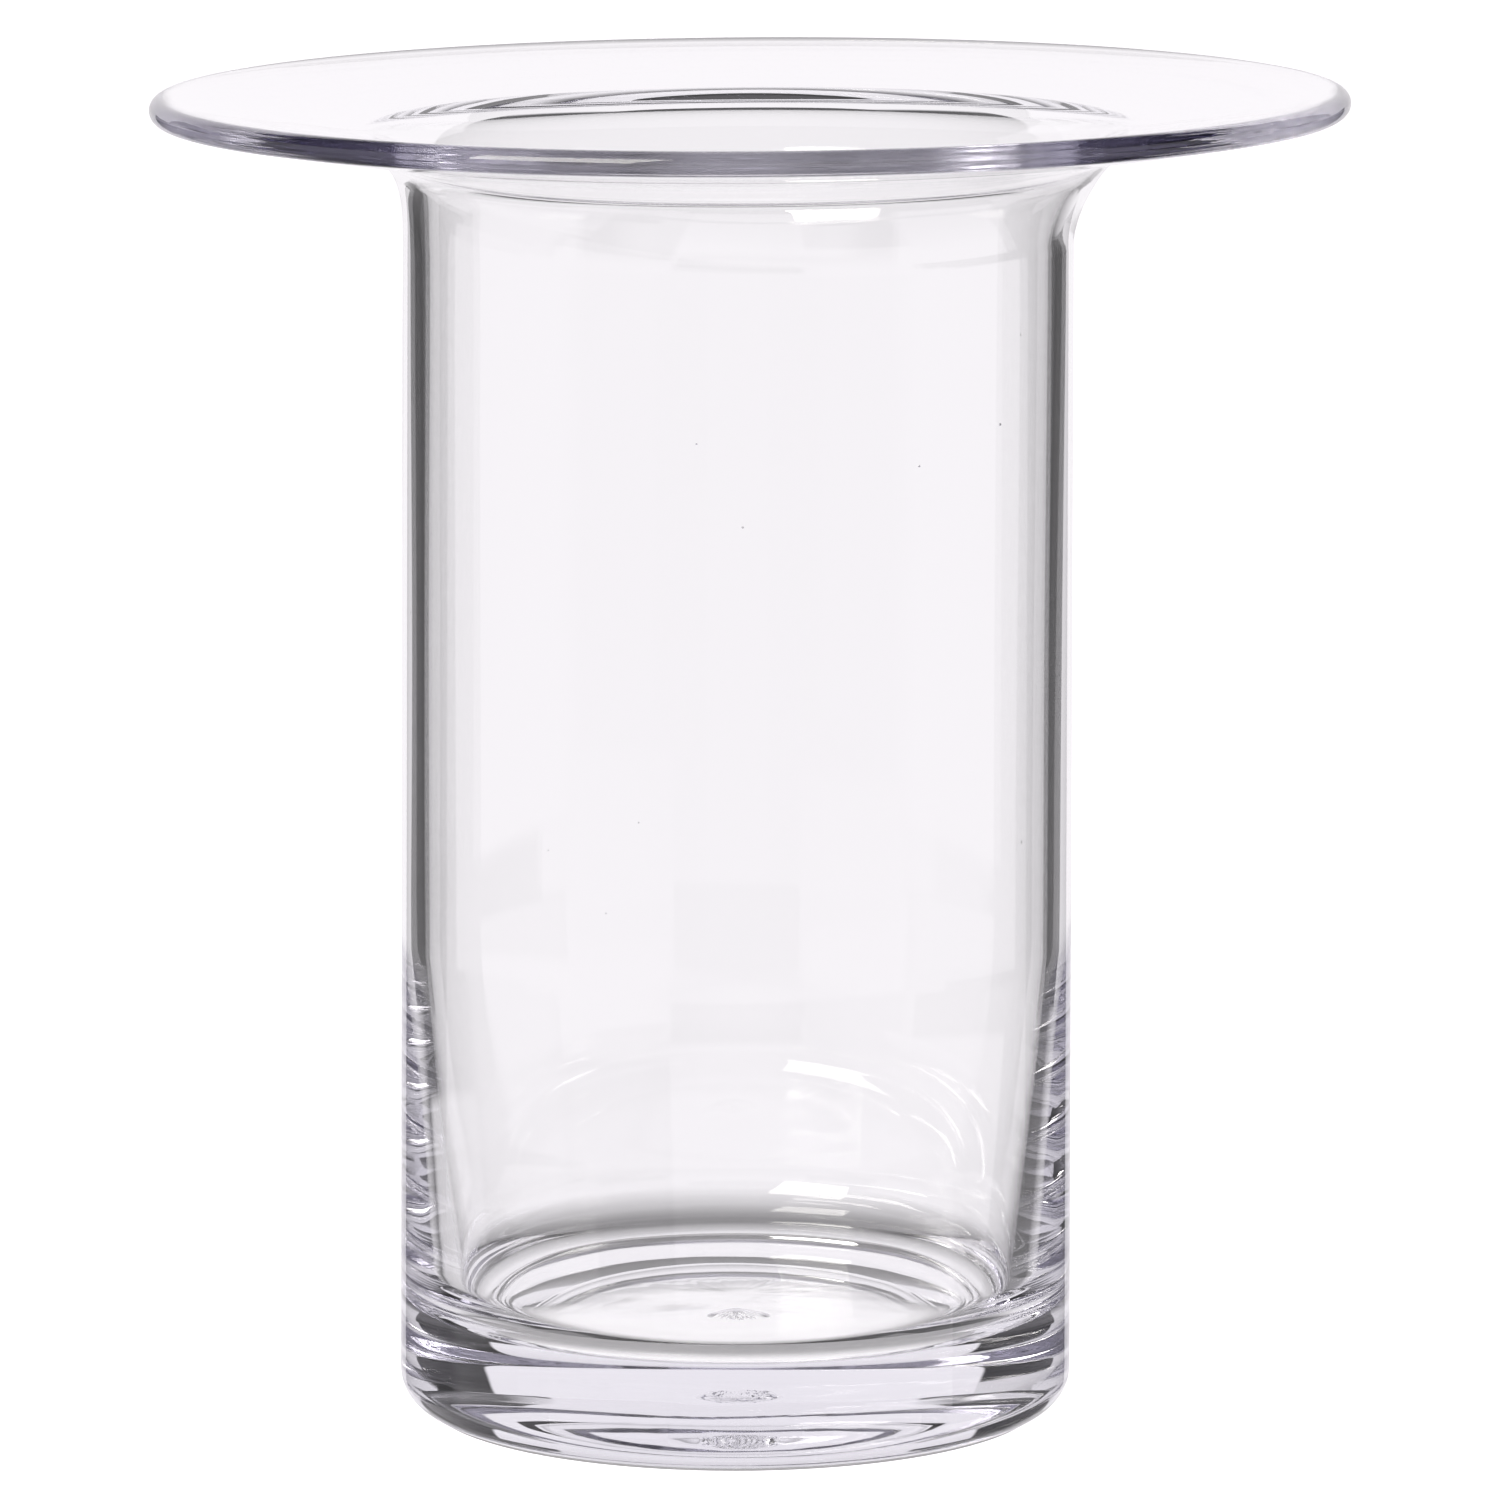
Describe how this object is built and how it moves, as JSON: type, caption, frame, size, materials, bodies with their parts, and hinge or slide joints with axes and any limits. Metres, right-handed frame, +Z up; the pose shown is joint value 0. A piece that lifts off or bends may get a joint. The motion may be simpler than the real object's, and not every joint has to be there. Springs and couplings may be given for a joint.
{
  "type": "glass cylinder vase",
  "caption": "Clear blown-glass vase: straight cylinder on a heavy base, bending out at the top into a wide flat round brim that spreads the stems.",
  "frame": {"origin": "on the surface the vase stands on, under the middle of its outline seen from above, which is the middle of the brim; the body's axis runs about 2 mm to the -X side of it, as in the hand-made original", "axes": "+Z up out of the mouth, -Y towards the viewer of the picture, +X to the viewer's right"},
  "size_m": [0.2, 0.2, 0.2236],
  "materials": {
    "clear_glass": "clear, smooth, fire-polished, with a faint cool grey tint in thick places"
  },
  "bodies": {
    "root": {"base": "clear_glass", "wall": "clear_glass", "neck": "clear_glass", "brim": "clear_glass"}
  },
  "joints": []
}
